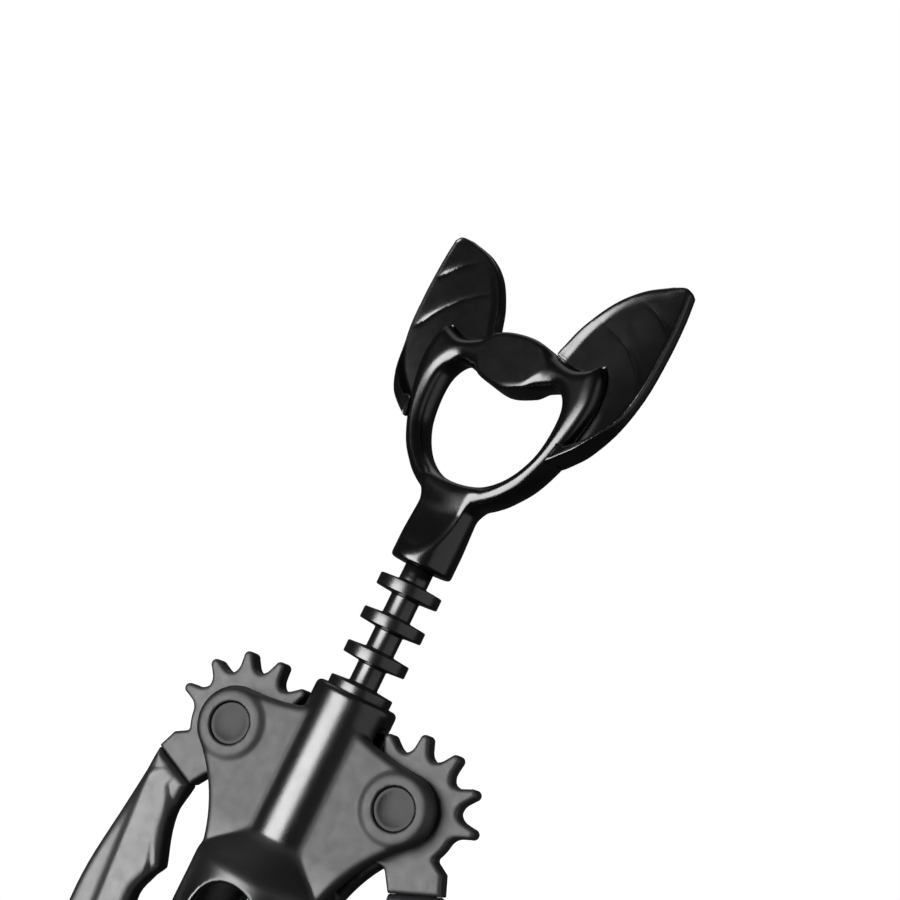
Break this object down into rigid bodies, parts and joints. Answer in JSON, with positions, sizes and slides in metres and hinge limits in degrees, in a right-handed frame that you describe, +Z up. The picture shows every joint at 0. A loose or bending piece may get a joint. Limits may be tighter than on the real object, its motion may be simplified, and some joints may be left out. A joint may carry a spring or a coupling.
{
  "type": "double-lever corkscrew",
  "caption": "Winged lever corkscrew with gear levers, a sliding ring rack, a turning eared ring head that lifts crown caps, a worm and a bell that seats on a bottle neck.",
  "frame": {"origin": "middle of the bell's rim, the plane on which the part stands", "axes": "+Z up along the barrel's axis, X across the two levers, front facing -Y"},
  "size_m": [0.069, 0.0374, 0.1774],
  "materials": {
    "cast_body": "satin black plating on cast zinc",
    "lever": "satin black plating",
    "wing": "satin black plating",
    "rack": "semi-gloss black plating",
    "head": "semi-gloss black plating",
    "ear": "satin black plating",
    "rivet": "blackened steel",
    "dowel": "bright steel",
    "washer": "blackened spring steel",
    "worm": "black non-stick coating on steel wire",
    "liner": "moulded black plastic"
  },
  "bodies": {
    "frame": {"body_frame": "cast_body", "bell_liner": "liner", "left_pivot_rivet": "rivet", "right_pivot_rivet": "rivet", "left_pivot_washers": "washer", "right_pivot_washers": "washer"},
    "left_lever": {"left_gear_lever": "lever", "left_wing": "wing", "left_wing_pins": "rivet"},
    "right_lever": {"right_gear_lever": "lever", "right_wing": "wing", "right_wing_pins": "rivet"},
    "rack": {"rack_sleeve": "rack"},
    "head": {"head_ring": "head", "left_ear": "ear", "right_ear": "ear", "left_ear_pins": "dowel", "right_ear_pins": "dowel", "head_lock_pin": "dowel", "worm": "worm", "thrust_washer": "washer"}
  },
  "joints": [
    {"name": "left_lever_swing", "type": "hinge", "parent": "frame", "child": "left_lever", "pos_m": [-0.018, 0, 0.07], "axis": [0, 1, 0], "range_deg": [0, 135]},
    {"name": "right_lever_swing", "type": "hinge", "parent": "frame", "child": "right_lever", "pos_m": [0.018, 0, 0.07], "axis": [0, -1, 0], "range_deg": [0, 135]},
    {"name": "rack_slide", "type": "slide", "parent": "frame", "child": "rack", "axis": [0, 0, -1], "range_m": [0, 0.0315]},
    {"name": "head_turn", "type": "hinge", "parent": "rack", "child": "head", "pos_m": [0, 0, 0.111], "axis": [0, 0, 1], "continuous": true}
  ],
  "couplings": [
    {"joint": "right_lever_swing", "follows": "left_lever_swing", "ratio": 1},
    {"joint": "rack_slide", "follows": "left_lever_swing", "m_per_rad": 0.013369}
  ]
}
